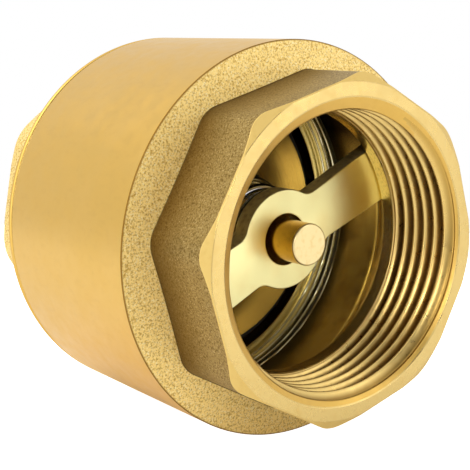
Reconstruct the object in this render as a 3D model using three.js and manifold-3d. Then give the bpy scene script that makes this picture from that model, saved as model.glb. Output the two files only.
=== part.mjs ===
// In-line spring check valve, G 1 1/2 female threads at both ends, DN 40.
//
// Frame: millimetres. +X is the direction of flow and the axis of the valve, +Z is up, and the
// origin is the centre of the inlet end face. Every turned profile is a list of [x, radius]
// points in which the outer wall runs towards +X and the inner wall runs back.
import * as THREE from 'three';
import { mergeVertices } from 'three/addons/utils/BufferGeometryUtils.js';
import Module from 'manifold-3d';

const wasm = await Module();
wasm.setup();

// ---- driving dimensions ---------------------------------------------------------------------

const LENGTH = 67;
const BODY_RADIUS = 33;
const GAP = 0.3; // clearance that stands for two faces touching

// Pipe thread, G 1 1/2 of ISO 228.
const PIPE_PITCH = 2.309;
const PIPE_MINOR = 44.845 / 2;
const PIPE_MAJOR = 47.803 / 2;
const PIPE_DEPTH = 13.4;
const PIPE_START = 0; // from the end face to the middle of a crest, on the +Y side
const MOUTH_RADIUS = 24.55;
const MOUTH_SLOPE = 1.73; // radius lost for each millimetre of depth, a 120 degree countersink
const BORE = 22.1;

// Eight-sided spanner collars.
const ACROSS_FLATS = 53;
const FACE_RADIUS = 26.7; // flat end face, inside the corner chamfer
const CHAMFER_SLOPE = 0.68; // axial fall for each millimetre of radius
const OUTLET_COLLAR = { length: 13.5, cornerRadius: 5.3, turn: -6 };
const INLET_COLLAR = { length: 13.4, cornerRadius: 7, turn: 12.7 };
const SHOULDER_FALL = 1; // draft of the forged shoulders
const SHOULDER_RADIUS = 26.4; // where a shoulder meets the flats of its collar

// Screwed joint between the inlet adapter and the body, M62 x 1.5.
const JOINT_PITCH = 1.5;
const JOINT_SEAM = 16;
const JOINT_NECK = { end: 19.6, radius: 29.2 };
const JOINT_SPIGOT_END = 25.8;
const JOINT_THREAD_END = 30.8;
const O_RING = { section: 0.9, x: 17.9 };

// Chamber, seat and guides.
const CHAMBER = { radius: 30, end: 42.3 }; // from there its roof tapers to the socket
const PORT_RADIUS = 19.5;
const SEAT = { x: 22.9, outer: 22.4, floor: 20.8, recess: 28.2 };
const BAR = { width: 9.2, thickness: 3.3, turn: 24 };
const BOSS = { radius: 8.4, fillet: 3 };
const OUTLET_BRIDGE_FACE = LENGTH - 16.1;
const OUTLET_GUIDE = { rear: 44.5, radius: 5.9, bore: 4.3 };
const INLET_BRIDGE = { face: 16.8, turn: 42.8, boss: 7, bore: 3.4 };

// Disc assembly, shown on its seat.
const SEAL = { radius: 26.4, thickness: 2.3 };
const PLATE = { radius: 24.4, thickness: 1.8 };
const RETAINER = { radius: 17.8, thickness: 1.6 };
const STEM = { radius: 3.5, tip: LENGTH - 10, foot: 4.5, pin: 3, thread: 4, flange: 9 };
const WASHER = { radius: 7.4, thickness: 2, slit: 1.2 };
const NUT = { acrossFlats: 13, thickness: 4 };
const SPRING = { wire: 1.6, base: 11.6, top: 7, turns: 5.5, closed: 0.75 };

// Facets.
const ROUND = 40;
const THREAD_STEPS = 28;
const WIRE_STEPS = 20;
const WIRE_ARCS = 3; // half the sides of the wire
const CORNER_ARCS = 2; // half the facets of a collar's rounded corner
const BRIDGE_ARCS = 5;

// ---- solids ---------------------------------------------------------------------------------

const radians = THREE.MathUtils.degToRad;

function toSolid(geometry) {
  geometry.deleteAttribute('normal');
  geometry.deleteAttribute('uv');
  const merged = mergeVertices(geometry, 1e-5);
  return new wasm.Manifold(new wasm.Mesh({
    numProp: 3,
    vertProperties: new Float32Array(merged.attributes.position.array),
    triVerts: new Uint32Array(merged.index.array),
  }));
}

function toGeometry(solid) {
  const mesh = solid.getMesh();
  const geometry = new THREE.BufferGeometry();
  geometry.setAttribute('position', new THREE.BufferAttribute(mesh.vertProperties, 3));
  geometry.setIndex(new THREE.BufferAttribute(mesh.triVerts, 1));
  geometry.computeVertexNormals();
  return geometry;
}

// A closed [x, radius] profile turned about the X axis.
function turned(profile, segments = ROUND) {
  const points = profile.map(([x, radius]) => new THREE.Vector2(radius, x));
  points.push(points[0].clone());
  return toSolid(new THREE.LatheGeometry(points, segments).rotateZ(-Math.PI / 2));
}

function ring(start, end, inner, outer, segments = ROUND) {
  return turned([[start, inner], [start, outer], [end, outer], [end, inner]], segments);
}

function rod(start, end, radius, segments = ROUND) {
  return ring(start, end, 0, radius, segments);
}

// A flat outline in the YZ plane, swept along +X from start to end and turned about the axis.
function swept(shape, start, end, turn = 0, curveSegments = CORNER_ARCS) {
  const options = { depth: end - start, bevelEnabled: false, curveSegments };
  const geometry = new THREE.ExtrudeGeometry(shape, options);
  const axes = new THREE.Matrix4().makeBasis(
    new THREE.Vector3(0, 1, 0),
    new THREE.Vector3(0, 0, 1),
    new THREE.Vector3(1, 0, 0),
  );
  return toSolid(geometry.applyMatrix4(axes).rotateX(radians(turn)).translate(start, 0, 0));
}

// A regular polygon with rounded corners, the first corner on the shape's X axis.
function polygonShape(sides, acrossFlats, cornerRadius) {
  const half = Math.PI / sides;
  const centreRadius = (acrossFlats / 2 - cornerRadius) / Math.cos(half);
  const shape = new THREE.Shape();
  for (let corner = 0; corner < sides; corner += 1) {
    const angle = 2 * half * corner;
    const x = centreRadius * Math.cos(angle);
    const y = centreRadius * Math.sin(angle);
    if (cornerRadius > 0) shape.absarc(x, y, cornerRadius, angle - half, angle + half);
    else if (corner === 0) shape.moveTo(x, y);
    else shape.lineTo(x, y);
  }
  shape.closePath();
  return shape;
}

// A bar across the bore with a round boss in its middle and concave fillets between them.
function bridgeShape(bossRadius, halfLength) {
  const halfWidth = BAR.width / 2;
  const reach = bossRadius + BOSS.fillet;
  const y = halfWidth + BOSS.fillet;
  const x = Math.sqrt(reach * reach - y * y);
  const meet = Math.atan2(y, x);
  const shape = new THREE.Shape();
  shape.moveTo(halfLength, -halfWidth);
  shape.lineTo(halfLength, halfWidth);
  shape.absarc(x, y, BOSS.fillet, -Math.PI / 2, meet - Math.PI, true);
  shape.absarc(0, 0, bossRadius, meet, Math.PI - meet, false);
  shape.absarc(-x, y, BOSS.fillet, -meet, -Math.PI / 2, true);
  shape.lineTo(-halfLength, halfWidth);
  shape.lineTo(-halfLength, -halfWidth);
  shape.absarc(-x, -y, BOSS.fillet, Math.PI / 2, meet, true);
  shape.absarc(0, 0, bossRadius, Math.PI + meet, 2 * Math.PI - meet, false);
  shape.absarc(x, -y, BOSS.fillet, Math.PI - meet, Math.PI / 2, true);
  shape.closePath();
  return shape;
}

// A right-hand threaded rod along X. Each pitch is a root flat, a flank, a crest flat and the
// flank back, and the ends are closed by a fan to the axis. `start` is the middle of a root flat
// on the +Y side.
function threadedRod({ start, end, pitch, root, crest, rootFlat, crestFlat }) {
  const flank = (pitch - rootFlat - crestFlat) / 2;
  const corners = [
    [-rootFlat / 2, root],
    [rootFlat / 2, root],
    [rootFlat / 2 + flank, crest],
    [rootFlat / 2 + flank + crestFlat, crest],
  ];
  const columns = 4 * Math.ceil((end - start) / pitch);
  const positions = [];
  const rows = [];
  for (let step = 0; step < THREAD_STEPS; step += 1) {
    const angle = (2 * Math.PI * step) / THREAD_STEPS;
    const last = step === 0 ? columns + 4 : columns;
    rows.push([]);
    for (let column = 0; column <= last; column += 1) {
      const [offset, radius] = corners[column % 4];
      const turns = Math.floor(column / 4) + step / THREAD_STEPS;
      rows[step].push(positions.length / 3);
      positions.push(start + offset + pitch * turns, radius * Math.cos(angle), radius * Math.sin(angle));
    }
  }
  rows.push(rows[0].slice(4));
  const startCentre = positions.length / 3;
  positions.push(start, 0, 0);
  const endCentre = positions.length / 3;
  positions.push(start + pitch * (columns / 4 + 1), 0, 0);

  const faces = [];
  for (let step = 0; step < THREAD_STEPS; step += 1) {
    const here = rows[step];
    const next = rows[step + 1];
    for (let column = 0; column < columns; column += 1) {
      faces.push(here[column], next[column], next[column + 1]);
      faces.push(here[column], next[column + 1], here[column + 1]);
    }
    faces.push(startCentre, next[0], here[0]);
    faces.push(endCentre, here[columns], next[columns]);
  }
  for (let column = 0; column < 4; column += 1) {
    faces.push(startCentre, rows[0][column], rows[0][column + 1]);
    faces.push(endCentre, rows[0][columns + column + 1], rows[0][columns + column]);
  }
  const geometry = new THREE.BufferGeometry();
  geometry.setAttribute('position', new THREE.Float32BufferAttribute(positions, 3));
  geometry.setIndex(faces);
  return toSolid(geometry);
}

// ---- shared features ------------------------------------------------------------------------

function collar({ length, cornerRadius, turn }) {
  const prism = swept(polygonShape(8, ACROSS_FLATS, cornerRadius), 0, length + 2, turn);
  const reach = 2;
  const cone = turned([
    [0, 0],
    [0, FACE_RADIUS],
    [reach * CHAMFER_SLOPE, FACE_RADIUS + reach],
    [length + 3, FACE_RADIUS + reach],
    [length + 3, 0],
  ]);
  return prism.intersect(cone);
}

// What is cut out of a collar for the pipe: the countersink, the thread and the plain bore.
function pipeSocket() {
  const mouth = turned([
    [-1, 0],
    [-1, MOUTH_RADIUS + MOUTH_SLOPE],
    [(MOUTH_RADIUS - BORE) / MOUTH_SLOPE, BORE],
    [(MOUTH_RADIUS - BORE) / MOUTH_SLOPE, 0],
  ]);
  const thread = threadedRod({
    start: PIPE_START - 2 * PIPE_PITCH,
    end: PIPE_DEPTH - PIPE_PITCH,
    pitch: PIPE_PITCH,
    root: PIPE_MINOR,
    crest: PIPE_MAJOR,
    rootFlat: 0.5,
    crestFlat: 0.4,
  });
  return mouth.add(thread).add(rod(-1, PIPE_DEPTH, BORE));
}

// The same feature at the outlet: turned end for end about the Z axis.
function atOutlet(solid) {
  return solid.rotate([0, 0, 180]).translate([LENGTH, 0, 0]);
}

// The bar and its boss, machined flat on the side of the outlet. Its ends run into the wall.
function bridge(face, bossRadius, halfLength, turn) {
  const shape = bridgeShape(bossRadius, halfLength);
  return swept(shape, face - BAR.thickness, face, turn, BRIDGE_ARCS);
}

// ---- the pieces -----------------------------------------------------------------------------

function outletBody() {
  const shoulder = LENGTH - OUTLET_COLLAR.length;
  const rear = JOINT_SEAM + GAP;
  const threadMajor = 31.1;
  const counterbore = JOINT_NECK.radius + 2 * O_RING.section + 2 * GAP;
  const barrel = turned([
    [rear, 0],
    [rear, BODY_RADIUS - 0.2],
    [rear + 0.2, BODY_RADIUS],
    [shoulder - SHOULDER_FALL, BODY_RADIUS],
    [shoulder, SHOULDER_RADIUS],
    [shoulder, 0],
  ]);
  const chamber = turned([
    [rear - 1, 0],
    [rear - 1, counterbore],
    [JOINT_NECK.end, counterbore],
    [JOINT_NECK.end, CHAMBER.radius],
    [CHAMBER.end, CHAMBER.radius],
    [OUTLET_BRIDGE_FACE + GAP, BORE],
    [OUTLET_BRIDGE_FACE + 3, BORE],
    [OUTLET_BRIDGE_FACE + 3, 0],
  ]);
  const jointThread = threadedRod({
    start: JOINT_NECK.end - JOINT_PITCH,
    end: JOINT_THREAD_END - 2 * JOINT_PITCH,
    pitch: JOINT_PITCH,
    root: CHAMBER.radius + 0.2,
    crest: threadMajor,
    rootFlat: 0.2,
    crestFlat: 0.3,
  });
  const guide = rod(OUTLET_GUIDE.rear, OUTLET_BRIDGE_FACE - 1, OUTLET_GUIDE.radius, 48);
  const bar = bridge(OUTLET_BRIDGE_FACE, BOSS.radius, CHAMBER.radius - 2, BAR.turn);
  return barrel
    .add(atOutlet(collar({ ...OUTLET_COLLAR, turn: 180 - OUTLET_COLLAR.turn })))
    .subtract(chamber)
    .subtract(jointThread)
    .subtract(atOutlet(pipeSocket()))
    .add(bar)
    .add(guide)
    .subtract(rod(OUTLET_GUIDE.rear - 1, LENGTH, OUTLET_GUIDE.bore, 48));
}

function inletAdapter() {
  const shoulder = INLET_COLLAR.length;
  const threadMajor = 30.8;
  const threadMinor = 29.9;
  const flange = turned([
    [shoulder, 0],
    [shoulder, SHOULDER_RADIUS],
    [shoulder + SHOULDER_FALL, BODY_RADIUS - 0.4],
    [shoulder + SHOULDER_FALL + 0.4, BODY_RADIUS],
    [JOINT_SEAM, BODY_RADIUS],
    [JOINT_SEAM, JOINT_NECK.radius],
    [JOINT_NECK.end, JOINT_NECK.radius],
    [JOINT_NECK.end, 0],
  ]);
  const spigot = threadedRod({
    start: JOINT_NECK.end - 2 * JOINT_PITCH,
    end: JOINT_SPIGOT_END + JOINT_PITCH,
    pitch: JOINT_PITCH,
    root: threadMinor,
    crest: threadMajor,
    rootFlat: 0.55,
    crestFlat: 0.15,
  });
  const clear = threadMajor + 0.5;
  const spigotEnvelope = turned([
    [JOINT_NECK.end - 0.2, 0],
    [JOINT_NECK.end - 0.2, threadMinor],
    [JOINT_NECK.end - 0.2 + clear - threadMinor, clear],
    [JOINT_SPIGOT_END - clear + threadMinor, clear],
    [JOINT_SPIGOT_END, threadMinor],
    [JOINT_SPIGOT_END, 0],
  ]);
  const seatRecess = turned([
    [SEAT.floor, SEAT.outer + 0.6],
    [SEAT.floor, SEAT.recess],
    [JOINT_SPIGOT_END + 1, SEAT.recess],
    [JOINT_SPIGOT_END + 1, 0],
    [SEAT.x, 0],
    [SEAT.x, SEAT.outer],
  ]);
  const bar = bridge(INLET_BRIDGE.face, INLET_BRIDGE.boss, PORT_RADIUS + 2, INLET_BRIDGE.turn);
  return flange
    .add(spigot.intersect(spigotEnvelope))
    .add(collar(INLET_COLLAR))
    .subtract(pipeSocket())
    .subtract(rod(PIPE_DEPTH - 1, JOINT_SPIGOT_END, PORT_RADIUS))
    .subtract(seatRecess)
    .add(bar)
    .subtract(rod(PIPE_DEPTH - 1, JOINT_SPIGOT_END, INLET_BRIDGE.bore, 32));
}

function jointORing() {
  const ringRadius = JOINT_NECK.radius + GAP + O_RING.section;
  const geometry = new THREE.TorusGeometry(ringRadius, O_RING.section, 6, 48);
  return toSolid(geometry.rotateY(Math.PI / 2).translate(O_RING.x, 0, 0));
}

// The disc stack from the seat upwards. Each entry is where the piece starts.
const sealStart = SEAT.x + GAP;
const plateStart = sealStart + SEAL.thickness + GAP;
const washerStart = plateStart + PLATE.thickness + GAP;
const nutStart = washerStart + WASHER.thickness + GAP;
const nutEnd = nutStart + NUT.thickness;
const retainerEnd = sealStart - GAP;
const retainerStart = retainerEnd - RETAINER.thickness;
const flangeEnd = retainerStart - GAP;
const flangeStart = flangeEnd - 1.6;
const stemHole = STEM.thread + GAP;

function discSeal() {
  const end = sealStart + SEAL.thickness;
  return turned([
    [sealStart, stemHole],
    [sealStart, SEAL.radius - 0.3],
    [sealStart + 0.3, SEAL.radius],
    [end - 0.3, SEAL.radius],
    [end, SEAL.radius - 0.3],
    [end, stemHole],
  ], 48);
}

function valveDisc() {
  const end = plateStart + PLATE.thickness;
  return turned([
    [plateStart, stemHole],
    [plateStart, PLATE.radius],
    [end - 0.3, PLATE.radius],
    [end, PLATE.radius - 0.3],
    [end, stemHole],
  ], 48);
}

function sealRetainer() {
  return turned([
    [retainerStart, stemHole],
    [retainerStart, RETAINER.radius - 0.5],
    [retainerStart + 0.5, RETAINER.radius],
    [retainerEnd, RETAINER.radius],
    [retainerEnd, stemHole],
  ], 48);
}

function valveStem() {
  return turned([
    [STEM.foot, 0],
    [STEM.foot, STEM.pin - 0.5],
    [STEM.foot + 0.5, STEM.pin],
    [flangeStart, STEM.pin],
    [flangeStart, STEM.flange - 0.4],
    [flangeStart + 0.4, STEM.flange],
    [flangeEnd, STEM.flange],
    [flangeEnd, STEM.thread],
    [nutEnd, STEM.thread],
    [nutEnd + 0.5, STEM.radius],
    [STEM.tip - 0.4, STEM.radius],
    [STEM.tip - 0.1, STEM.radius - 0.4],
    [STEM.tip, 0],
  ], 32);
}

// A spring washer: a ring with one slit.
function lockWasher() {
  const end = washerStart + WASHER.thickness;
  const slit = swept(new THREE.Shape([
    new THREE.Vector2(0, -WASHER.slit / 2),
    new THREE.Vector2(WASHER.radius + 1, -WASHER.slit / 2),
    new THREE.Vector2(WASHER.radius + 1, WASHER.slit / 2),
    new THREE.Vector2(0, WASHER.slit / 2),
  ]), washerStart - 1, end + 1, 100);
  return ring(washerStart, end, stemHole, WASHER.radius, 36).subtract(slit);
}

function retainingNut() {
  const blank = swept(polygonShape(6, NUT.acrossFlats, 0), nutStart, nutEnd, 15);
  const cornerRadius = NUT.acrossFlats / 2 / Math.cos(Math.PI / 6);
  const chamfered = turned([
    [nutStart, 0],
    [nutStart, cornerRadius + 0.1],
    [nutEnd - 0.6, cornerRadius + 0.1],
    [nutEnd, NUT.acrossFlats / 2 - 0.1],
    [nutEnd, 0],
  ], 48);
  return blank.intersect(chamfered).subtract(rod(nutStart - 1, nutEnd + 1, stemHole, 32));
}

// A conical compression spring with closed end turns, wide on the disc and narrow at the guide.
function closingSpring() {
  const half = SPRING.wire / 2;
  const start = plateStart + PLATE.thickness + GAP + half;
  const end = OUTLET_BRIDGE_FACE - BAR.thickness - GAP - half;
  const closedRise = SPRING.wire * 1.06 * SPRING.closed;
  const rising = SPRING.turns - 2 * SPRING.closed;
  const rise = (end - start - 2 * closedRise) / rising;

  class Coil extends THREE.Curve {
    getPoint(t, target = new THREE.Vector3()) {
      const turn = t * SPRING.turns;
      const first = Math.min(turn, SPRING.closed);
      const last = Math.max(turn - SPRING.turns + SPRING.closed, 0);
      const middle = turn - first - last;
      const x = start + (first + last) * (closedRise / SPRING.closed) + middle * rise;
      const radius = THREE.MathUtils.lerp(SPRING.base, SPRING.top, (x - start) / (end - start));
      const angle = 2 * Math.PI * turn;
      return target.set(x, radius * Math.cos(angle), radius * Math.sin(angle));
    }
  }

  const section = new THREE.Shape();
  section.absarc(0, 0, half, 0, 2 * Math.PI);
  return new THREE.ExtrudeGeometry(section, {
    steps: Math.round(SPRING.turns * WIRE_STEPS),
    curveSegments: WIRE_ARCS,
    extrudePath: new Coil(),
    bevelEnabled: false,
  });
}

// ---- materials and the finished group -------------------------------------------------------

const BRASS = { color: 0xd9b45c, roughness: 0.32, metalness: 1 };
const PALE_BRASS = { color: 0xe6cf86, roughness: 0.28, metalness: 1 };
const RUBBER = { color: 0x17181a, roughness: 0.65, metalness: 0 };
const STEEL = { color: 0xb9bcc0, roughness: 0.3, metalness: 1 };

function piece(name, shape, look) {
  const geometry = shape instanceof THREE.BufferGeometry ? shape : toGeometry(shape);
  const mesh = new THREE.Mesh(geometry, new THREE.MeshStandardMaterial(look));
  mesh.name = name;
  return mesh;
}

const valve = new THREE.Group();
const poppet = new THREE.Group();
poppet.add(
  piece('valve_disc', valveDisc(), BRASS),
  piece('disc_seal', discSeal(), RUBBER),
  piece('seal_retainer', sealRetainer(), BRASS),
  piece('valve_stem', valveStem(), PALE_BRASS),
  piece('lock_washer', lockWasher(), STEEL),
  piece('retaining_nut', retainingNut(), BRASS),
);
valve.add(
  piece('outlet_body', outletBody(), BRASS),
  piece('inlet_adapter', inletAdapter(), BRASS),
  piece('joint_o_ring', jointORing(), RUBBER),
  piece('closing_spring', closingSpring(), STEEL),
  poppet,
);

export default valve;
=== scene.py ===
"""Looks of an in-line spring check valve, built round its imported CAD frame.

Lengths are in millimetres and angles in degrees, in the frame of the CAD: +X is the direction of
flow and the axis of the valve, +Z is up, and x = 0 is the inlet end face. The mesh helpers turn
them into metres. Angles round the axis run from +Y towards +Z.
"""

import math

import bmesh
import bpy
from mathutils import Matrix, Vector


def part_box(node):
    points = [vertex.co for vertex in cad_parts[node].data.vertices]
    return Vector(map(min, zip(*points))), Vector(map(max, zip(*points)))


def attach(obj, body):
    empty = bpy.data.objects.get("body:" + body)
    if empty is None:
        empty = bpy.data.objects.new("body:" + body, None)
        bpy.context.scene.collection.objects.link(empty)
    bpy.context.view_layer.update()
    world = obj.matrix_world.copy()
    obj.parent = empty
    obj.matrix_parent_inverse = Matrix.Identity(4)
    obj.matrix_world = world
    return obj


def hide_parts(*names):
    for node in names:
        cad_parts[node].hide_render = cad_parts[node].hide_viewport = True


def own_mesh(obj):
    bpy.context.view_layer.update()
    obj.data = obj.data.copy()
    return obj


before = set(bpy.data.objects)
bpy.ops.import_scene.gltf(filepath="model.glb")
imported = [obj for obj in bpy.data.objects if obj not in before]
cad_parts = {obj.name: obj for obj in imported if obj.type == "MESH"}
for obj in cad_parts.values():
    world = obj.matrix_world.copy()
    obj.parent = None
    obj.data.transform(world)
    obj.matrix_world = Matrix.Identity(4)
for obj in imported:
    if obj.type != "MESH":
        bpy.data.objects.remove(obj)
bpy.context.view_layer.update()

MM = 0.001


# ---- dimensions ---------------------------------------------------------------------------------


def node_box(node):
    """Lowest and highest corner of a CAD node, in millimetres."""
    low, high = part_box(node)
    return low / MM, high / MM


BODY_HIGH = node_box("outlet_body")[1]
LENGTH = BODY_HIGH.x
BODY_RADIUS = BODY_HIGH.z
SEAM = 16.0  # where the two halves of the barrel meet
SEAM_GAP = 0.02  # each half stops this far short of the seam, which leaves a hairline

# Pipe sockets, G 1 1/2.
PIPE_PITCH = 2.309
PIPE_MINOR = 22.42
PIPE_MAJOR = 23.9
PIPE_DEPTH = 13.4
PIPE_START = 1.7  # middle of the first crest behind the outlet mouth, on the +Y side
PIPE_FLANKS = 0.93  # share of the pitch that is not the flat of the root
PIPE_RUN_OUT = 1.0  # the thread starts to fade out this far from its end
LEDGE = 0.1  # from the end of a pipe thread to the bore behind it
MOUTH_RADIUS = 24.55
MOUTH_SLOPE = 1.73  # radius lost for each millimetre of depth
BORE = 22.1

# Spanner collars.
COLLAR_SIDES = 8
ACROSS_FLATS = 53.0
FACE_RADIUS = 26.7
CHAMFER_SLOPE = 0.68
OUTLET_COLLAR = {"length": 13.5, "corner": 5.3, "turn": -6.0}
INLET_COLLAR = {"length": 13.4, "corner": 7.0, "turn": 12.7}
SHOULDER_RADIUS = 26.4
SHOULDER_FALL = 1.0  # the shoulder falls back this far from SHOULDER_RADIUS to the rim
FACE_MARGIN = 0.25  # least width of the corner chamfer

# Inside of the body.
BORE_END = LENGTH - 15.85
CHAMBER_RADIUS = 30.0
CHAMBER_END = 42.3
JOINT_PITCH = 1.55
JOINT_MAJOR = 30.95
JOINT_THREAD_END = 31.4
JOINT_THREAD_SEEN = 25.0
JOINT_GROOVE = (0.08, 0.30)  # from its middle to its wall's foot and top, in shares of half a pitch
JOINT_RUN_OUT = 0.5
JOINT_RELIEF = 0.9  # depth of the undercut behind the joint thread
NECK_END = 19.6
NECK_BORE = 31.6

# Guide bars.
BAR_WIDTH = 8.8
BAR_THICKNESS = 3.3
BOSS_FILLET = 3.0
BAR_FLARE = 0.022  # half width gained for each millimetre towards the wall
OUTLET_BAR = {"face": LENGTH - 16.1, "turn": 25.0, "boss": 8.4, "bore": 4.3, "reach": 27.0}
INLET_BAR = {"face": 16.75, "turn": 42.8, "boss": 7.0, "bore": 3.4, "reach": 21.0}
BAR_EDGE = 0.18  # easing of the bars' edges
HOLE_MARGIN = 0.2  # a face this close to a guide hole counts as its wall
FLAT_NORMAL = 0.99  # a face whose normal has this x or more is shaded flat
FRONT_NORMAL = 0.3  # above this x, a face belongs to the turned front of its bar
BAR_OVERLAP = 0.2  # the guide reaches this far into its bar
GUIDE_REAR = 44.5
GUIDE_RADIUS = 5.9

# Inlet adapter.
NECK_RADIUS = 29.2
SPIGOT_RADIUS = 30.1
SPIGOT_END = 25.8
PORT_RADIUS = 19.5
SEAT_FACE = 22.9
SEAT_RADIUS = 22.4
SEAT_FLOOR = 20.8
SEAT_DRAFT = 0.6
RECESS_RADIUS = 28.2

# Moving stack.
STEM_RADIUS = 3.5
PIN_RADIUS = 3.0
STEM_THREAD = 4.0
STEM_FLANGE = 9.0
FLANGE_THICKNESS = 1.6
STACK_GAP = 0.3  # between pieces that are clamped together, and round the stem
STACK_BORE = STEM_THREAD + STACK_GAP
THREAD_TIP = 0.5  # bevel where the stem's thread drops to its smooth end
NUT_FLATS = 13.0
NUT_TURN = 15.0
NUT_CORNER = 0.3
NUT_BORE = STEM_THREAD + 0.1
NUT_CHAMFER = 0.1  # the chamfer starts this far inside the flats
NUT_CHAMFER_SLOPE = 0.55
NUT_CHAMFER_MIN = 0.02  # least width of the chamfer
WASHER_BORE = STEM_THREAD + 0.2
WASHER_SLIT = 1.2
WASHER_SLIT_TURN = 100.0

# Closing spring.
WIRE_RADIUS = 0.8
SPRING_BASE = 11.6
SPRING_TOP = 7.0
SPRING_TURNS = 5.5
SPRING_CLOSED = 0.75  # closed turns at each end
CLOSED_PITCH = 1.06  # rise of a closed turn, in wire diameters
CUT_END_SHARE = 0.8  # size of the wire where its end is cut and eased

# Facets.
ROUND = 416
SMALL_ROUND = 128
CORNER_ARC = 3
ARC_SHARE = 0.45  # an arc takes up at most this share of a wall
THREAD_STEPS = 112
JOINT_STEPS = 64
COIL_STEPS = 64
WIRE_SIDES = 20
NUDGE = 0.001  # part of a turn, used to find the direction of the wire
RING_SIDES = 16
HOLE_SIDES = 96
FILLET_ARC = 12
BOSS_ARC = 40
WELD = 1e-6  # points closer than this many metres are merged


# ---- materials ----------------------------------------------------------------------------------


def srgb(red, green, blue):
    """Linear colour of a display colour given from 0 to 255."""
    channels = []
    for value in (red / 255, green / 255, blue / 255):
        channels.append(value / 12.92 if value <= 0.04045 else ((value + 0.055) / 1.055) ** 2.4)
    return (*channels, 1.0)


class Finish:
    """A procedural material, built up from a base colour by tints, bumps and roughness."""

    def __init__(self, name, colour, roughness, metallic=1.0, anisotropy=0.0):
        self.material = bpy.data.materials.new(name)
        self.material.use_nodes = True
        self.nodes = self.material.node_tree.nodes
        self.links = self.material.node_tree.links
        self.shader = self.nodes["Principled BSDF"]
        self.shader.inputs["Base Color"].default_value = colour
        self.shader.inputs["Roughness"].default_value = roughness
        self.shader.inputs["Metallic"].default_value = metallic
        self.shader.inputs["Anisotropic"].default_value = anisotropy
        self.place = self.nodes.new("ShaderNodeTexCoord").outputs["Object"]
        self.colour = None
        self.normal = None

    def noise(self, size, detail=2.0, stretch=(1, 1, 1)):
        """Noise whose spots are about `size` millimetres, drawn out along each axis by `stretch`."""
        scaled = self.nodes.new("ShaderNodeVectorMath")
        scaled.operation = "MULTIPLY"
        self.links.new(self.place, scaled.inputs[0])
        scaled.inputs[1].default_value = [1 / (size * MM * share) for share in stretch]
        noise = self.nodes.new("ShaderNodeTexNoise")
        noise.inputs["Scale"].default_value = 1.0
        noise.inputs["Detail"].default_value = detail
        self.links.new(scaled.outputs[0], noise.inputs["Vector"])
        return noise.outputs["Fac"]

    def radius(self):
        """Distance from the valve's axis, in metres."""
        flat = self.nodes.new("ShaderNodeVectorMath")
        flat.operation = "MULTIPLY"
        flat.inputs[1].default_value = (0, 1, 1)
        self.links.new(self.place, flat.inputs[0])
        length = self.nodes.new("ShaderNodeVectorMath")
        length.operation = "LENGTH"
        self.links.new(flat.outputs[0], length.inputs[0])
        return length.outputs["Value"]

    def along(self):
        """Place along the valve's axis, in metres."""
        parts = self.nodes.new("ShaderNodeSeparateXYZ")
        self.links.new(self.place, parts.inputs[0])
        return parts.outputs["X"]

    def height(self):
        """Height above the valve's axis, in metres."""
        parts = self.nodes.new("ShaderNodeSeparateXYZ")
        self.links.new(self.place, parts.inputs[0])
        return parts.outputs["Z"]

    def lines(self, value, size, detail=1.0):
        """Random lines of constant `value`, about `size` millimetres wide: a tool's feed marks."""
        noise = self.nodes.new("ShaderNodeTexNoise")
        noise.noise_dimensions = "1D"
        noise.inputs["Scale"].default_value = 1 / (size * MM)
        noise.inputs["Detail"].default_value = detail
        self.links.new(value, noise.inputs["W"])
        return noise.outputs["Fac"]

    def spread(self, value, low, high, out_low=0.0, out_high=1.0):
        """Stretches a value's low to high range to the output range, and clamps it."""
        node = self.nodes.new("ShaderNodeMapRange")
        self.links.new(value, node.inputs["Value"])
        node.inputs["From Min"].default_value = low
        node.inputs["From Max"].default_value = high
        node.inputs["To Min"].default_value = out_low
        node.inputs["To Max"].default_value = out_high
        return node.outputs["Result"]

    def tint(self, amount, colour):
        """Mixes a colour in where `amount` is high."""
        node = self.nodes.new("ShaderNodeMix")
        node.data_type = "RGBA"
        self.links.new(amount, node.inputs["Factor"])
        base = self.shader.inputs["Base Color"]
        if self.colour is None:
            node.inputs["A"].default_value = base.default_value
        else:
            self.links.new(self.colour, node.inputs["A"])
        node.inputs["B"].default_value = colour
        self.colour = node.outputs["Result"]
        self.links.new(self.colour, base)
        return self

    def mottle(self, size, colour, amount, detail=3.0, start=0.5, stop=0.8, stretch=(1, 1, 1)):
        """Mixes a colour in as cloudy patches about `size` millimetres across."""
        patches = self.noise(size, detail, stretch)
        return self.tint(self.spread(patches, start, stop, 0.0, amount), colour)

    def roughen(self, value, low, high):
        """Lets a 0 to 1 value drive the roughness between two limits."""
        self.links.new(self.spread(value, 0.3, 0.7, low, high), self.shader.inputs["Roughness"])
        return self

    def bump(self, height, depth):
        """Adds relief `depth` millimetres high."""
        node = self.nodes.new("ShaderNodeBump")
        node.inputs["Strength"].default_value = 1.0
        node.inputs["Distance"].default_value = depth * MM
        self.links.new(height, node.inputs["Height"])
        if self.normal is not None:
            self.links.new(self.normal, node.inputs["Normal"])
        self.normal = node.outputs["Normal"]
        self.links.new(self.normal, self.shader.inputs["Normal"])
        return self

    def circular(self):
        """Turns the brushing direction to run round the valve's axis."""
        node = self.nodes.new("ShaderNodeVectorMath")
        node.operation = "CROSS_PRODUCT"
        node.inputs[0].default_value = (1, 0, 0)
        self.links.new(self.place, node.inputs[1])
        self.links.new(node.outputs[0], self.shader.inputs["Tangent"])
        return self


def satin_brass():
    finish = Finish("satin_brass", srgb(226, 184, 94), 0.38)
    finish.mottle(9, srgb(230, 190, 110), 0.35, start=0.45, stop=0.75)
    finish.mottle(1.1, srgb(210, 166, 84), 0.25, stretch=(1.6, 1, 1))
    finish.roughen(finish.noise(2.5, 3.0), 0.32, 0.42)
    finish.bump(finish.noise(0.9, 3.0), 0.010)
    finish.bump(finish.lines(finish.along(), 0.25), 0.0015)
    return finish.material


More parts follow.
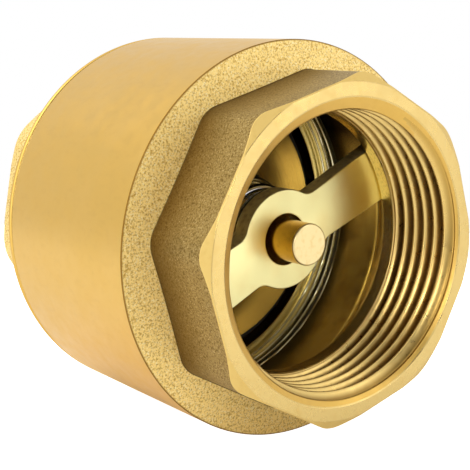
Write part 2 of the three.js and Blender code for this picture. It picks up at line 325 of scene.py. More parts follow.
def blasted_brass():
    finish = Finish("blasted_brass", srgb(255, 226, 146), 0.55)
    finish.mottle(0.32, srgb(206, 166, 80), 1.0, detail=2.0, start=0.46, stop=0.66)
    sparkle = {"detail": 1.0, "start": 0.56, "stop": 0.70, "stretch": (1, 1.1, 0.9)}
    finish.mottle(0.26, srgb(255, 240, 190), 0.9, **sparkle)
    finish.bump(finish.noise(0.34, 2.0), 0.035)
    finish.bump(finish.noise(2.2, 2.0), 0.05)
    # Painted shade: a thin dark brown line along the rim, where the shoulder meets the barrel.
    rim = BODY_RADIUS * MM
    finish.tint(finish.spread(finish.radius(), rim - 0.3 * MM, rim - 0.1 * MM), srgb(150, 112, 46))
    return finish.material


# Painted shade: a darker copy of the blasted finish, for the outlet collar's flats, standing in for
# the shade they catch.
def shaded_flats_brass():
    finish = Finish("shaded_flats_brass", srgb(168, 142, 84), 0.5)
    finish.mottle(0.30, srgb(120, 94, 44), 1.0, detail=2.0, start=0.46, stop=0.68)
    sparkle = {"detail": 1.0, "start": 0.58, "stop": 0.72, "stretch": (1, 0.9, 1.1)}
    finish.mottle(0.26, srgb(214, 190, 132), 0.7, **sparkle)
    # Painted shade: the flats darken further towards their root, next to the shoulder.
    root = (LENGTH - OUTLET_COLLAR["length"]) * MM
    shade = finish.spread(finish.along(), root, root + 9 * MM, 0.8, 0.0)
    finish.tint(shade, srgb(84, 62, 24))
    finish.bump(finish.noise(0.34, 2.0), 0.035)
    finish.bump(finish.noise(2.5, 2.0), 0.05)
    return finish.material


def machined_brass():
    finish = Finish("machined_brass", srgb(228, 198, 126), 0.27, anisotropy=0.4)
    finish.circular()
    finish.mottle(1.6, srgb(214, 172, 88), 0.3)
    finish.roughen(finish.noise(3, 3.0), 0.22, 0.34)
    finish.bump(finish.lines(finish.radius(), 0.12), 0.0025)
    finish.bump(finish.noise(0.5, 3.0), 0.004)
    return finish.material


def chamfer_brass():
    finish = Finish("chamfer_brass", srgb(232, 202, 124), 0.6)
    finish.mottle(1.2, srgb(214, 172, 88), 0.3)
    finish.bump(finish.noise(0.4, 3.0), 0.006)
    return finish.material


def faced_brass():
    finish = Finish("faced_brass", srgb(255, 244, 176), 0.4, anisotropy=0.75)
    finish.circular()
    finish.mottle(5, srgb(232, 190, 96), 0.25, detail=2.0)
    finish.bump(finish.lines(finish.radius(), 0.10), 0.0018)
    return finish.material


def thread_brass():
    finish = Finish("thread_brass", srgb(232, 200, 124), 0.30)
    finish.mottle(0.9, srgb(222, 176, 96), 0.35, detail=2.0, stretch=(0.5, 1, 1))
    # Painted shade: the thread's roots are darkened, as they lie in shadow. Near the outlet mouth
    # the thread is blended to the satin colour, over this painted shade.
    root_shade = finish.spread(finish.radius(), 22.8 * MM, 23.6 * MM, 0.0, 0.85)
    finish.tint(root_shade, srgb(104, 72, 28))
    mouth = finish.spread(finish.along(), (LENGTH - 1.8) * MM, (LENGTH - 0.4) * MM, 0.0, 0.8)
    finish.tint(mouth, srgb(226, 184, 94))
    finish.roughen(finish.noise(1.5, 2.0), 0.26, 0.36)
    finish.bump(finish.noise(0.35, 2.0, (0.4, 1, 1)), 0.004)
    return finish.material


def joint_brass():
    finish = Finish("joint_brass", srgb(255, 246, 200), 0.22)
    finish.mottle(0.8, srgb(232, 204, 150), 0.4, detail=2.0)
    # Painted shade: the joint thread's grooves are darkened.
    groove_shade_radius = (CHAMBER_RADIUS + 0.35) * MM
    finish.tint(finish.spread(finish.radius(), groove_shade_radius, groove_shade_radius + 0.2 * MM), srgb(70, 48, 18))
    return finish.material


def bore_brass():
    finish = Finish("bore_brass", srgb(236, 210, 140), 0.26)
    finish.mottle(0.6, srgb(130, 98, 44), 0.6, stop=0.75, stretch=(0.5, 1, 1))
    finish.bump(finish.lines(finish.along(), 0.2), 0.003)
    return finish.material


def chamber_brass():
    finish = Finish("chamber_brass", srgb(232, 200, 120), 0.24)
    finish.mottle(4, srgb(150, 112, 40), 0.5, start=0.45, stop=0.75)
    # Painted shade: the upper part of the chamber wall is darkened almost to black.
    top_shade = finish.spread(finish.height(), 8 * MM, 16 * MM, 0.0, 0.95)
    finish.tint(top_shade, srgb(50, 26, 14))
    finish.bump(finish.lines(finish.along(), 0.22), 0.003)
    return finish.material


def disc_brass():
    finish = Finish("disc_brass", srgb(255, 238, 176), 0.24, anisotropy=0.5)
    finish.circular()
    rings = finish.lines(finish.radius(), 0.35)
    finish.tint(finish.spread(rings, 0.5, 0.8, 0.0, 0.4), srgb(186, 158, 92))
    finish.bump(finish.lines(finish.radius(), 0.12), 0.002)
    return finish.material


def stem_brass():
    finish = Finish("stem_brass", srgb(222, 172, 62), 0.24)
    finish.mottle(1.2, srgb(176, 122, 34), 0.4)
    finish.bump(finish.lines(finish.along(), 0.15), 0.002)
    return finish.material


def stem_end_brass():
    finish = Finish("stem_end_brass", srgb(240, 218, 160), 0.34)
    finish.mottle(1.0, srgb(226, 186, 112), 0.5, stop=0.75)
    finish.bump(finish.noise(0.6, 3.0), 0.010)
    return finish.material


def bar_brass():
    finish = Finish("bar_brass", srgb(240, 218, 150), 0.5, metallic=0.75)
    finish.mottle(1.0, srgb(176, 140, 72), 0.6, start=0.45, stop=0.75)
    finish.bump(finish.noise(0.5, 2.0), 0.02)
    return finish.material


def black_rubber():
    finish = Finish("black_rubber", srgb(30, 28, 32), 0.45, metallic=0.0)
    finish.mottle(1.5, srgb(34, 34, 40), 0.5)
    finish.bump(finish.noise(0.3, 2.0), 0.006)
    return finish.material


def spring_steel():
    finish = Finish("spring_steel", srgb(198, 200, 206), 0.16)
    finish.mottle(1.5, srgb(120, 124, 132), 0.4, detail=2.0)
    finish.bump(finish.noise(0.25, 2.0), 0.003)
    return finish.material


def plain_steel():
    finish = Finish("plain_steel", srgb(186, 188, 192), 0.30)
    finish.mottle(1.8, srgb(140, 143, 150), 0.4, detail=2.0)
    finish.bump(finish.noise(0.3, 2.0), 0.004)
    return finish.material


FINISHES = {
    "satin": satin_brass(),
    "blasted": blasted_brass(),
    "cast": shaded_flats_brass(),
    "machined": machined_brass(),
    "chamfer": chamfer_brass(),
    "faced": faced_brass(),
    "thread": thread_brass(),
    "joint": joint_brass(),
    "bore": bore_brass(),
    "chamber": chamber_brass(),
    "disc": disc_brass(),
    "bar": bar_brass(),
    "stem": stem_brass(),
    "stem_end": stem_end_brass(),
    "rubber": black_rubber(),
    "spring": spring_steel(),
    "steel": plain_steel(),
}


# ---- meshes -------------------------------------------------------------------------------------


def mesh_object(name, points, faces, zones):
    """A smooth mesh object from points in millimetres. Each face's zone names its finish."""
    mesh = bpy.data.meshes.new(name)
    mesh.from_pydata([(x * MM, y * MM, z * MM) for x, y, z in points], [], faces)
    used = sorted(set(zones))
    for zone in used:
        mesh.materials.append(FINISHES[zone])
    mesh.polygons.foreach_set("material_index", [used.index(zone) for zone in zones])
    work = bmesh.new()
    work.from_mesh(mesh)
    bmesh.ops.recalc_face_normals(work, faces=work.faces)
    work.to_mesh(mesh)
    work.free()
    mesh.shade_smooth()
    return show(name, mesh)


def show(name, mesh, flat_faces=True):
    """Puts a mesh in the scene, with smooth shading that can leave its large faces flat."""
    obj = bpy.data.objects.new(name, mesh)
    bpy.context.scene.collection.objects.link(obj)
    if flat_faces:
        weighted = obj.modifiers.new("flat_faces", "WEIGHTED_NORMAL")
        weighted.weight = 90
    return obj


def fillet(before, corner, after, radius):
    """Points of a small arc that rounds a profile's corner, all as (x, radius) pairs."""
    corner = Vector(corner)
    a = Vector(before) - corner
    b = Vector(after) - corner
    reach = min(radius, a.length * ARC_SHARE, b.length * ARC_SHARE)
    start = corner + a.normalized() * reach
    end = corner + b.normalized() * reach
    points = []
    for step in range(CORNER_ARC + 1):
        t = step / CORNER_ARC
        point = start * (1 - t) ** 2 + corner * 2 * t * (1 - t) + end * t * t
        points.append(tuple(point))
    return points


def rounded(profile):
    """Rounds a closed profile. Each corner is (x, radius, rounding, zone), and its zone is the
    finish of the wall that follows it. Returns (x, radius, zone) points."""
    points = []
    count = len(profile)
    for index, (x, radius, rounding, zone) in enumerate(profile):
        if rounding > 0:
            before = profile[index - 1]
            after = profile[(index + 1) % count]
            arc = fillet(before[:2], (x, radius), after[:2], rounding)
            points.extend((px, pr, zone) for px, pr in arc)
        else:
            points.append((x, radius, zone))
    return points


def turned(name, profile_at, segments=ROUND):
    """A closed ring. `profile_at(angle)` gives its (x, radius, zone) points at each angle."""
    points = []
    zones = []
    faces = []
    for step in range(segments):
        angle = 2 * math.pi * step / segments
        cosine, sine = math.cos(angle), math.sin(angle)
        profile = profile_at(angle)
        size = len(profile)
        here = step * size
        there = (step + 1) % segments * size
        for index, (x, radius, zone) in enumerate(profile):
            after = (index + 1) % size
            points.append((x, radius * cosine, radius * sine))
            faces.append((here + index, here + after, there + after, there + index))
            zones.append(zone)
    return mesh_object(name, points, faces, zones)


def plain_turned(name, profile, segments=SMALL_ROUND):
    """A turned ring with the same rounded profile all the way round."""
    points = rounded(profile)
    return turned(name, lambda angle: points, segments)


def spindle(name, profile, segments=SMALL_ROUND):
    """A turned solid closed on the axis at both ends. The profile leaves out the axis points."""
    first = (profile[0][0], 0.0, 0.0, profile[0][3])
    last = (profile[-1][0], 0.0, 0.0, profile[-1][3])
    wall = rounded([first, *profile, last])[1:-1]
    size = len(wall)
    points = []
    faces = []
    zones = []
    for step in range(segments):
        angle = 2 * math.pi * step / segments
        cosine, sine = math.cos(angle), math.sin(angle)
        here = step * size
        there = (step + 1) % segments * size
        points.extend((x, radius * cosine, radius * sine) for x, radius, _ in wall)
        for index in range(size - 1):
            faces.append((here + index, here + index + 1, there + index + 1, there + index))
            zones.append(wall[index][2])
    for index, zone in ((0, first[3]), (size - 1, last[3])):
        faces.append([step * size + index for step in range(segments)])
        zones.append(zone)
    return mesh_object(name, points, faces, zones)


# ---- shapes shared by the pieces ----------------------------------------------------------------


def smooth_step(low, high, value):
    """Smooth rise from 0 at `low` to 1 at `high`."""
    t = min(max((value - low) / (high - low), 0.0), 1.0)
    return t * t * (3 - 2 * t)


def polygon_radius(angle, sides, across_flats, corner, turn):
    """Radius, at an angle round its centre, of a regular polygon with rounded corners."""
    half = math.pi / sides
    off = abs((angle - math.radians(turn) + half) % (2 * half) - half)
    centre = (across_flats / 2 - corner) / math.cos(half)
    tangent = math.atan2(corner * math.sin(half), centre + corner * math.cos(half))
    if off < tangent:
        return centre * math.cos(off) + math.sqrt(corner**2 - (centre * math.sin(off)) ** 2)
    return across_flats / 2 / math.cos(half - off)


def collar_corners(angle, collar):
    """A spanner collar's outer corners at an angle, with x as the depth behind its end face."""
    radius = polygon_radius(angle, COLLAR_SIDES, ACROSS_FLATS, collar["corner"], collar["turn"])
    face = min(FACE_RADIUS, radius - FACE_MARGIN)
    rise = (radius - SHOULDER_RADIUS) / (BODY_RADIUS - SHOULDER_RADIUS)
    return [
        (collar["length"] + SHOULDER_FALL * rise, radius, 0.12, "cast"),
        ((radius - face) * CHAMFER_SLOPE, radius, 0.05, "chamfer"),
        (0.0, face, 0.10, "machined"),
        (0.0, MOUTH_RADIUS, 0.06, "machined"),
    ]


def pipe_thread(angle, start, hand):
    """Wall of a pipe socket from its mouth inwards, with x as the depth behind the end face."""
    crest = start + hand * PIPE_PITCH * angle / (2 * math.pi)
    wall = []
    for step in range(1, THREAD_STEPS + 1):
        depth = (PIPE_DEPTH + LEDGE / 2) * step / THREAD_STEPS
        off_crest = abs(((depth - crest) / PIPE_PITCH + 0.5) % 1.0 - 0.5) * 2
        height = math.sin(math.pi / 2 * min(off_crest / PIPE_FLANKS, 1.0)) ** 2
        height *= 1 - smooth_step(PIPE_DEPTH - PIPE_RUN_OUT, PIPE_DEPTH + 2 * LEDGE, depth)
        radius = PIPE_MINOR + (PIPE_MAJOR - PIPE_MINOR) * height
        mouth = MOUTH_RADIUS - MOUTH_SLOPE * depth
        zone = "thread" if radius > mouth else "satin"
        wall.append((depth, max(radius, mouth), 0.0, zone))
    return wall


def joint_thread(angle):
    """The female joint thread that shows beyond the adapter's end, from its last turn back."""
    wall = []
    for step in range(JOINT_STEPS + 1):
        x = JOINT_THREAD_END + (JOINT_THREAD_SEEN - JOINT_THREAD_END) * step / JOINT_STEPS
        phase = (x - JOINT_THREAD_END) / JOINT_PITCH - angle / (2 * math.pi)
        off_root = abs((phase + 0.5) % 1.0 - 0.5) * 2
        depth = 1 - smooth_step(*JOINT_GROOVE, off_root)
        depth *= smooth_step(0.0, JOINT_RUN_OUT, JOINT_THREAD_END - x)
        wall.append((x, CHAMBER_RADIUS + (JOINT_MAJOR - CHAMBER_RADIUS) * depth, 0.0, "joint"))
    return wall


def bar_outline(boss, reach):
    """Outline of a bar with a round boss in its middle and hollow fillets between them."""
    half_width = BAR_WIDTH / 2
    end_width = half_width + BAR_FLARE * reach
    centre_y = half_width + BOSS_FILLET
    centre_x = math.sqrt((boss + BOSS_FILLET) ** 2 - centre_y**2)
    meet = math.atan2(centre_y, centre_x)

    def arc(x, y, radius, start, end, steps):
        for step in range(steps + 1):
            angle = start + (end - start) * step / steps
            yield (x + radius * math.cos(angle), y + radius * math.sin(angle))

    half = [(reach, -end_width), (reach, end_width)]
    half.extend(arc(centre_x, centre_y, BOSS_FILLET, -math.pi / 2, meet - math.pi, FILLET_ARC))
    half.extend(arc(0, 0, boss, meet, math.pi - meet, BOSS_ARC))
    half.extend(arc(-centre_x, centre_y, BOSS_FILLET, -meet, -math.pi / 2, FILLET_ARC))
    return half + [(-x, -y) for x, y in half]


def circle_outline(radius):
    """Points of the circle that cuts a guide hole."""
    for step in range(HOLE_SIDES):
        angle = 2 * math.pi * step / HOLE_SIDES
        yield (radius * math.cos(angle), radius * math.sin(angle))


def plate_mesh(name, outlines, thickness, edge):
    """A plate in the XY plane with eased edges. Outlines inside the first one are holes."""
    curve = bpy.data.curves.new(name, "CURVE")
    curve.dimensions = "2D"
    curve.fill_mode = "BOTH"
    curve.extrude = (thickness / 2 - edge) * MM
    curve.bevel_depth = edge * MM
    curve.bevel_resolution = 2
    curve.offset = -edge * MM
    for outline in outlines:
        spline = curve.splines.new("POLY")
        spline.points.add(len(outline) - 1)
        spline.use_cyclic_u = True
        for point, (x, y) in zip(spline.points, outline):
            point.co = (x * MM, y * MM, 0, 1)
    maker = bpy.data.objects.new(name + "_outline", curve)
    bpy.context.scene.collection.objects.link(maker)
    graph = bpy.context.evaluated_depsgraph_get()
    mesh = bpy.data.meshes.new_from_object(maker.evaluated_get(graph))
    bpy.data.objects.remove(maker)
    work = bmesh.new()
    work.from_mesh(mesh)
    bmesh.ops.remove_doubles(work, verts=work.verts, dist=WELD)
    bmesh.ops.recalc_face_normals(work, faces=work.faces)
    work.to_mesh(mesh)
    work.free()
    return mesh


def guide_bar(name, bar):
    """A guide bar: a plate that stands across the bore, with a guide hole in its boss."""
    outlines = (bar_outline(bar["boss"], bar["reach"]), list(circle_outline(bar["bore"])))
    mesh = plate_mesh(name, outlines, BAR_THICKNESS, BAR_EDGE)
    stand = Matrix(((0, 0, 1, 0), (1, 0, 0, 0), (0, 1, 0, 0), (0, 0, 0, 1)))
    turn = Matrix.Rotation(math.radians(bar["turn"]), 4, "X")
    middle = Matrix.Translation(((bar["face"] - BAR_THICKNESS / 2) * MM, 0, 0))
    mesh.transform(middle @ turn @ stand)
    mesh.materials.clear()
    zones = ("bar", "faced", "bore")
    for zone in zones:
        mesh.materials.append(FINISHES[zone])
    for face in mesh.polygons:
        off_axis = math.hypot(face.center.y, face.center.z) / MM
        face.use_smooth = abs(face.normal.x) < FLAT_NORMAL
        zone = "bar"
        if face.normal.x > FRONT_NORMAL:
            zone = "faced"
        elif off_axis < bar["bore"] + HOLE_MARGIN:
            zone = "bore"
        face.material_index = zones.index(zone)
    return show(name, mesh, flat_faces=False)


# ---- the pieces ---------------------------------------------------------------------------------


def outlet_shell():
    def profile_at(angle):
        collar = [(LENGTH - x, r, e, zone) for x, r, e, zone in collar_corners(angle, OUTLET_COLLAR)]
        socket = [(LENGTH - x, r, e, zone) for x, r, e, zone in pipe_thread(angle, PIPE_START, -1)]
        shoulder = LENGTH - OUTLET_COLLAR["length"] - SHOULDER_FALL
        return rounded([
            (SEAM + SEAM_GAP, BODY_RADIUS, 0.0, "satin"),
            (shoulder, BODY_RADIUS, 0.15, "blasted"),
            *collar,
            *socket,
            (LENGTH - PIPE_DEPTH - LEDGE, BORE, 0.0, "bore"),
            (BORE_END, BORE, 0.12, "chamber"),
            (CHAMBER_END, CHAMBER_RADIUS, 1.5, "chamber"),
            *joint_thread(angle),
            (NECK_END, CHAMBER_RADIUS + JOINT_RELIEF, 0.0, "chamber"),
            (NECK_END, NECK_BORE, 0.0, "chamber"),
            (SEAM + SEAM_GAP, NECK_BORE, 0.0, "chamber"),
        ])

    return turned("outlet_shell", profile_at)


def outlet_guide():
    start = GUIDE_REAR
    end = OUTLET_BAR["face"] - BAR_THICKNESS + BAR_OVERLAP
    return plain_turned("outlet_guide", [
        (start, OUTLET_BAR["bore"], 0.2, "bar"),
        (start, GUIDE_RADIUS, 0.4, "bar"),
        (end, GUIDE_RADIUS, 0.0, "bar"),
        (end, OUTLET_BAR["bore"], 0.0, "bore"),
    ])


def inlet_shell():
    def profile_at(angle):
        collar = collar_corners(angle, INLET_COLLAR)[::-1]
        faces = ["machined", "chamfer", "blasted", "blasted"]
        outer = [(x, r, e, zone) for (x, r, e, _), zone in zip(collar, faces)]
        socket = pipe_thread(angle, 0.0, 1)[::-1]
        shoulder = INLET_COLLAR["length"] + SHOULDER_FALL
        return rounded([
            *outer,
            (shoulder, BODY_RADIUS, 0.3, "satin"),
            (SEAM - SEAM_GAP, BODY_RADIUS, 0.0, "machined"),
            (SEAM - SEAM_GAP, NECK_RADIUS, 0.0, "machined"),
            (NECK_END, NECK_RADIUS, 0.0, "machined"),
            (NECK_END, SPIGOT_RADIUS, 0.3, "machined"),
            (SPIGOT_END, SPIGOT_RADIUS, 0.35, "disc"),
            (SPIGOT_END, RECESS_RADIUS, 0.12, "chamber"),
            (SEAT_FLOOR, RECESS_RADIUS, 0.3, "chamber"),
            (SEAT_FLOOR, SEAT_RADIUS + SEAT_DRAFT, 0.3, "chamber"),
            (SEAT_FACE, SEAT_RADIUS, 0.3, "machined"),
            (SEAT_FACE, PORT_RADIUS, 0.4, "chamber"),
            (PIPE_DEPTH + LEDGE, PORT_RADIUS, 0.3, "bore"),
            (PIPE_DEPTH + LEDGE, BORE, 0.0, "bore"),
            *socket,
        ])

    return turned("inlet_shell", profile_at)


def joint_ring():
    low, high = node_box("joint_o_ring")
    section = (high.x - low.x) / 2
    middle = (low.x + high.x) / 2
    centre = high.y - section
    points = []
    for step in range(RING_SIDES):
        angle = 2 * math.pi * step / RING_SIDES
        x = middle + section * math.cos(angle)
        points.append((x, centre + section * math.sin(angle), "rubber"))
    return turned("o_ring", lambda angle: points, SMALL_ROUND)


def ring_piece(name, node, inner, edge, zone):
    """A washer-like piece that fills its CAD node's box down to an inner radius."""
    low, high = node_box(node)
    return plain_turned(name, [
        (low.x, inner, edge, zone),
        (low.x, high.z, edge, zone),
        (high.x, high.z, edge, zone),
        (high.x, inner, edge, zone),
    ], ROUND // 2)


def stem():
    low, high = node_box("valve_stem")
    flange_end = node_box("seal_retainer")[0].x - STACK_GAP
    flange_start = flange_end - FLANGE_THICKNESS
    thread_end = node_box("retaining_nut")[1].x
    return spindle("stem", [
        (low.x, PIN_RADIUS, 0.5, "stem"),
        (flange_start, PIN_RADIUS, 0.0, "stem"),
        (flange_start, STEM_FLANGE, 0.4, "stem"),
        (flange_end, STEM_FLANGE, 0.2, "stem"),
        (flange_end, STEM_THREAD, 0.0, "stem"),
        (thread_end, STEM_THREAD, 0.2, "stem"),
        (thread_end + THREAD_TIP, STEM_RADIUS, 0.2, "stem"),
        (high.x, STEM_RADIUS, 0.35, "stem_end"),
    ])


def nut():
    low, high = node_box("retaining_nut")
    chamfer_radius = NUT_FLATS / 2 - NUT_CHAMFER

    def profile_at(angle):
        radius = polygon_radius(angle, 6, NUT_FLATS, NUT_CORNER, NUT_TURN)
        fall = max(radius - chamfer_radius, NUT_CHAMFER_MIN) * NUT_CHAMFER_SLOPE
        return rounded([
            (low.x, NUT_BORE, 0.3, "machined"),
            (low.x, radius, 0.1, "machined"),
            (high.x - fall, radius, 0.1, "machined"),
            (high.x, min(chamfer_radius, radius - NUT_CHAMFER_MIN), 0.08, "machined"),
            (high.x, NUT_BORE, 0.3, "machined"),
        ])

    return turned("hexagon_nut", profile_at, SMALL_ROUND * 2)


def spring_washer():
    """A ring with one slit, swept round from one side of the slit to the other."""
    low, high = node_box("lock_washer")
    outer = high.z
    wall = rounded([
        (low.x, WASHER_BORE, 0.15, "steel"),
        (low.x, outer, 0.15, "steel"),
        (high.x, outer, 0.15, "steel"),
        (high.x, WASHER_BORE, 0.15, "steel"),
    ])
    half_slit = math.asin(WASHER_SLIT / 2 / outer)
    size = len(wall)
    steps = SMALL_ROUND
    points = []
    faces = []
    for step in range(steps + 1):
        angle = math.radians(WASHER_SLIT_TURN) + half_slit
        angle += (2 * math.pi - 2 * half_slit) * step / steps
        points.extend((x, r * math.cos(angle), r * math.sin(angle)) for x, r, _ in wall)
    for step in range(steps):
        for index in range(size):
            after = (index + 1) % size
            here, there = step * size, (step + 1) * size
            faces.append((here + index, here + after, there + after, there + index))
    faces.append(list(range(size)))
    faces.append([steps * size + index for index in range(size)])
    return mesh_object("spring_washer", points, faces, ["steel"] * len(faces))


def coil_point(turn, start, end):
    """Centre of the spring's wire after some turns, between its first and last x."""
    closed_rise = 2 * WIRE_RADIUS * CLOSED_PITCH * SPRING_CLOSED
    rise = (end - start - 2 * closed_rise) / (SPRING_TURNS - 2 * SPRING_CLOSED)
    first = min(turn, SPRING_CLOSED)
    last = max(turn - SPRING_TURNS + SPRING_CLOSED, 0)
    x = start + (first + last) * closed_rise / SPRING_CLOSED + (turn - first - last) * rise
    radius = SPRING_BASE + (SPRING_TOP - SPRING_BASE) * (x - start) / (end - start)
    angle = 2 * math.pi * turn
    return Vector((x, radius * math.cos(angle), radius * math.sin(angle)))


def spring():
    low, high = node_box("closing_spring")
    start, end = low.x + WIRE_RADIUS, high.x - WIRE_RADIUS
    steps = int(SPRING_TURNS * COIL_STEPS)
    points = []
    faces = []
    for step in range(steps + 1):
        turn = SPRING_TURNS * step / steps
        centre = coil_point(turn, start, end)
        outward = Vector((0, centre.y, centre.z)).normalized()
        ahead = coil_point(turn + NUDGE, start, end) - coil_point(turn - NUDGE, start, end)
        across = ahead.cross(outward).normalized()
        ease = min(step, steps - step, 2) / 2  # the cut ends are eased over two steps
        radius = WIRE_RADIUS * (CUT_END_SHARE + (1 - CUT_END_SHARE) * ease)
        for side in range(WIRE_SIDES):
            angle = 2 * math.pi * side / WIRE_SIDES
            points.append(centre + (outward * math.cos(angle) + across * math.sin(angle)) * radius)
    for step in range(steps):
        for side in range(WIRE_SIDES):
            after = (side + 1) % WIRE_SIDES
            here, there = step * WIRE_SIDES, (step + 1) * WIRE_SIDES
            faces.append((here + side, here + after, there + after, there + side))
    faces.append(list(range(WIRE_SIDES)))
    faces.append([steps * WIRE_SIDES + side for side in range(WIRE_SIDES)])
    return mesh_object("spring", points, faces, ["spring"] * len(faces))


shell = outlet_shell()
bar = guide_bar("outlet_bar", OUTLET_BAR)
guide = outlet_guide()
adapter = inlet_shell()
adapter_bar = guide_bar("inlet_bar", INLET_BAR)
o_ring = joint_ring()
coil = spring()
disc = ring_piece("disc_plate", "valve_disc", STACK_BORE, 0.25, "disc")
seal = ring_piece("seal_ring", "disc_seal", STACK_BORE, 0.3, "rubber")
retainer = ring_piece("retainer_plate", "seal_retainer", STACK_BORE, 0.35, "machined")
washer = spring_washer()
stem_piece = stem()
nut_piece = nut()

for piece, body, node, slot in (
    (shell, "body", "outlet_body", "brass_body"),
    (bar, "body", "outlet_body", "brass_body"),
    (guide, "body", "outlet_body", "brass_body"),
    (adapter, "body", "inlet_adapter", "brass_adapter"),
    (adapter_bar, "body", "inlet_adapter", "brass_adapter"),
    (o_ring, "body", "joint_o_ring", "nitrile_o_ring"),
    (coil, "body", "closing_spring", "stainless_spring"),
    (disc, "poppet", "valve_disc", "brass_disc"),
    (seal, "poppet", "disc_seal", "nitrile_seal"),
    (retainer, "poppet", "seal_retainer", "brass_retainer"),
    (stem_piece, "poppet", "valve_stem", "brass_stem"),
    (washer, "poppet", "lock_washer", "stainless_washer"),
    (nut_piece, "poppet", "retaining_nut", "brass_nut"),
):
    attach(piece, body)
    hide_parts(node)

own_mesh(coil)


# ---- camera, floor and light --------------------------------------------------------------------

# Brightness of the studio's walls at each azimuth. They are dark round the camera.
STUDIO_WALLS = (
    (-178, 0.88),
    (-112, 0.90),
    (-90, 2.2),
    (-66, 2.1),
    (-33, 0.35),
    (-15, 0.06),
    (12, 0.10),
    (30, 1.85),
    (40, 1.75),
    (51, 0.88),
    (100, 1.0),
    (178, 0.88),
)
CEILING = 0.95
OVERHEAD = (35, 60)  # elevations where the walls start and end their blend into the ceiling
HORIZON = 0.82
BELOW = (-5, -16)  # elevations where the walls start and end their blend into the horizon

CAMERA_PLACE = (195.6, -118.2, 34.3)
CAMERA_AZIMUTH = 53.375  # from -Y towards +X
CAMERA_ELEVATION = 10.19
CAMERA_LENS = 87.1
FLOOR_REACH = 0.17


def direction(azimuth, elevation):
    """Unit vector at an azimuth from +X towards +Y and an elevation above the horizon."""
    a, e = math.radians(azimuth), math.radians(elevation)
    return Vector((math.cos(a) * math.cos(e), math.sin(a) * math.cos(e), math.sin(e)))


def add_camera():
    data = bpy.data.cameras.new("camera")
    data.lens = CAMERA_LENS
    data.sensor_width = 36.0
    data.clip_start = 0.01
    data.clip_end = 20.0
    camera = bpy.data.objects.new("camera", data)
    bpy.context.scene.collection.objects.link(camera)
    camera.location = Vector(CAMERA_PLACE) * MM
    back = direction(CAMERA_AZIMUTH - 90, CAMERA_ELEVATION)
    camera.rotation_mode = "QUATERNION"
    camera.rotation_quaternion = (-back).to_track_quat("-Z", "Y")
    bpy.context.scene.camera = camera


def add_floor():
    """A white floor. What the camera sees of it is over-exposed, as on a light table."""
    z = -BODY_RADIUS * MM
    mesh = bpy.data.meshes.new("floor")
    corners = [(-FLOOR_REACH, -FLOOR_REACH, z), (FLOOR_REACH, -FLOOR_REACH, z)]
    corners += [(FLOOR_REACH, FLOOR_REACH, z), (-FLOOR_REACH, FLOOR_REACH, z)]
    mesh.from_pydata(corners, [], [(0, 1, 2, 3)])
    finish = Finish("floor_white", (0.9, 0.9, 0.9, 1), 0.9, metallic=0.0)
    finish.shader.inputs["Emission Color"].default_value = (1, 1, 1, 1)
    seen = finish.nodes.new("ShaderNodeLightPath").outputs["Is Camera Ray"]
    finish.links.new(seen, finish.shader.inputs["Emission Strength"])
    mesh.materials.append(finish.material)
    floor = bpy.data.objects.new("floor", mesh)
    bpy.context.scene.collection.objects.link(floor)


def add_area_light(name, towards, distance, size, power):
    data = bpy.data.lights.new(name, "AREA")
    data.shape = "DISK"
    data.size = size
    data.energy = power
    light = bpy.data.objects.new(name, data)
    bpy.context.scene.collection.objects.link(light)
    light.location = Vector((LENGTH / 2 * MM, 0, 0)) + towards * distance
    light.rotation_mode = "QUATERNION"
    light.rotation_quaternion = (-towards).to_track_quat("-Z", "Y")


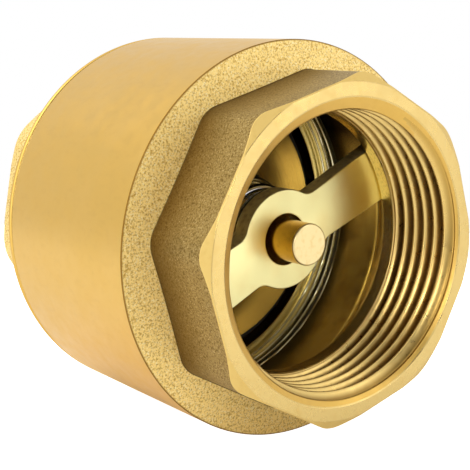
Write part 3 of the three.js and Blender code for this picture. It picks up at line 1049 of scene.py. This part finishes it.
def wall_brightness(nodes, links, x, y):
    """Socket with the brightness of the studio's walls in the direction (x, y)."""
    azimuth = nodes.new("ShaderNodeMath")
    azimuth.operation = "ARCTAN2"
    links.new(y, azimuth.inputs[0])
    links.new(x, azimuth.inputs[1])
    turn = nodes.new("ShaderNodeMapRange")
    turn.inputs["From Min"].default_value = -math.pi
    turn.inputs["From Max"].default_value = math.pi
    links.new(azimuth.outputs[0], turn.inputs["Value"])
    walls = nodes.new("ShaderNodeValToRGB")
    walls.color_ramp.interpolation = "EASE"
    stops = walls.color_ramp.elements
    while len(stops) < len(STUDIO_WALLS):
        stops.new(0.5)
    for stop, (degrees, brightness) in zip(stops, STUDIO_WALLS):
        stop.position = degrees / 360 + 0.5
        stop.color = (brightness, brightness, brightness, 1)
    links.new(turn.outputs["Result"], walls.inputs["Fac"])
    return walls.outputs["Color"]


def blend_by_elevation(nodes, links, z, limits, base, brightness):
    """Blends a base socket into an even brightness between two elevations, in degrees."""
    start, end = (math.sin(math.radians(limit)) for limit in limits)
    share = nodes.new("ShaderNodeMapRange")
    share.interpolation_type = "SMOOTHSTEP"
    share.inputs["From Min"].default_value = start
    share.inputs["From Max"].default_value = end
    links.new(z, share.inputs["Value"])
    blend = nodes.new("ShaderNodeMix")
    blend.data_type = "RGBA"
    links.new(share.outputs["Result"], blend.inputs["Factor"])
    links.new(base, blend.inputs["A"])
    blend.inputs["B"].default_value = (brightness, brightness, brightness, 1)
    return blend.outputs["Result"]


def add_studio():
    """A white studio with a dark gap between its soft boxes, which gives the metal its contrast."""
    world = bpy.data.worlds.new("studio")
    world.use_nodes = True
    bpy.context.scene.world = world
    nodes, links = world.node_tree.nodes, world.node_tree.links
    place = nodes.new("ShaderNodeTexCoord")
    parts = nodes.new("ShaderNodeSeparateXYZ")
    links.new(place.outputs["Generated"], parts.inputs[0])
    x, y, z = parts.outputs
    room = wall_brightness(nodes, links, x, y)
    room = blend_by_elevation(nodes, links, z, OVERHEAD, room, CEILING)
    room = blend_by_elevation(nodes, links, z, BELOW, room, HORIZON)
    path = nodes.new("ShaderNodeLightPath")
    seen = nodes.new("ShaderNodeMath")
    seen.operation = "MAXIMUM"
    links.new(room, seen.inputs[0])
    links.new(path.outputs["Is Camera Ray"], seen.inputs[1])
    background = nodes["Background"]
    background.inputs["Color"].default_value = (1, 1, 1, 1)
    links.new(seen.outputs[0], background.inputs["Strength"])


add_camera()
add_floor()
add_studio()
add_area_light("key", direction(-110, 55), distance=0.9, size=0.7, power=3)
add_area_light("fill", direction(-12, 10), distance=0.5, size=0.14, power=0.36)

view = bpy.context.scene.view_settings
view.view_transform = "Standard"
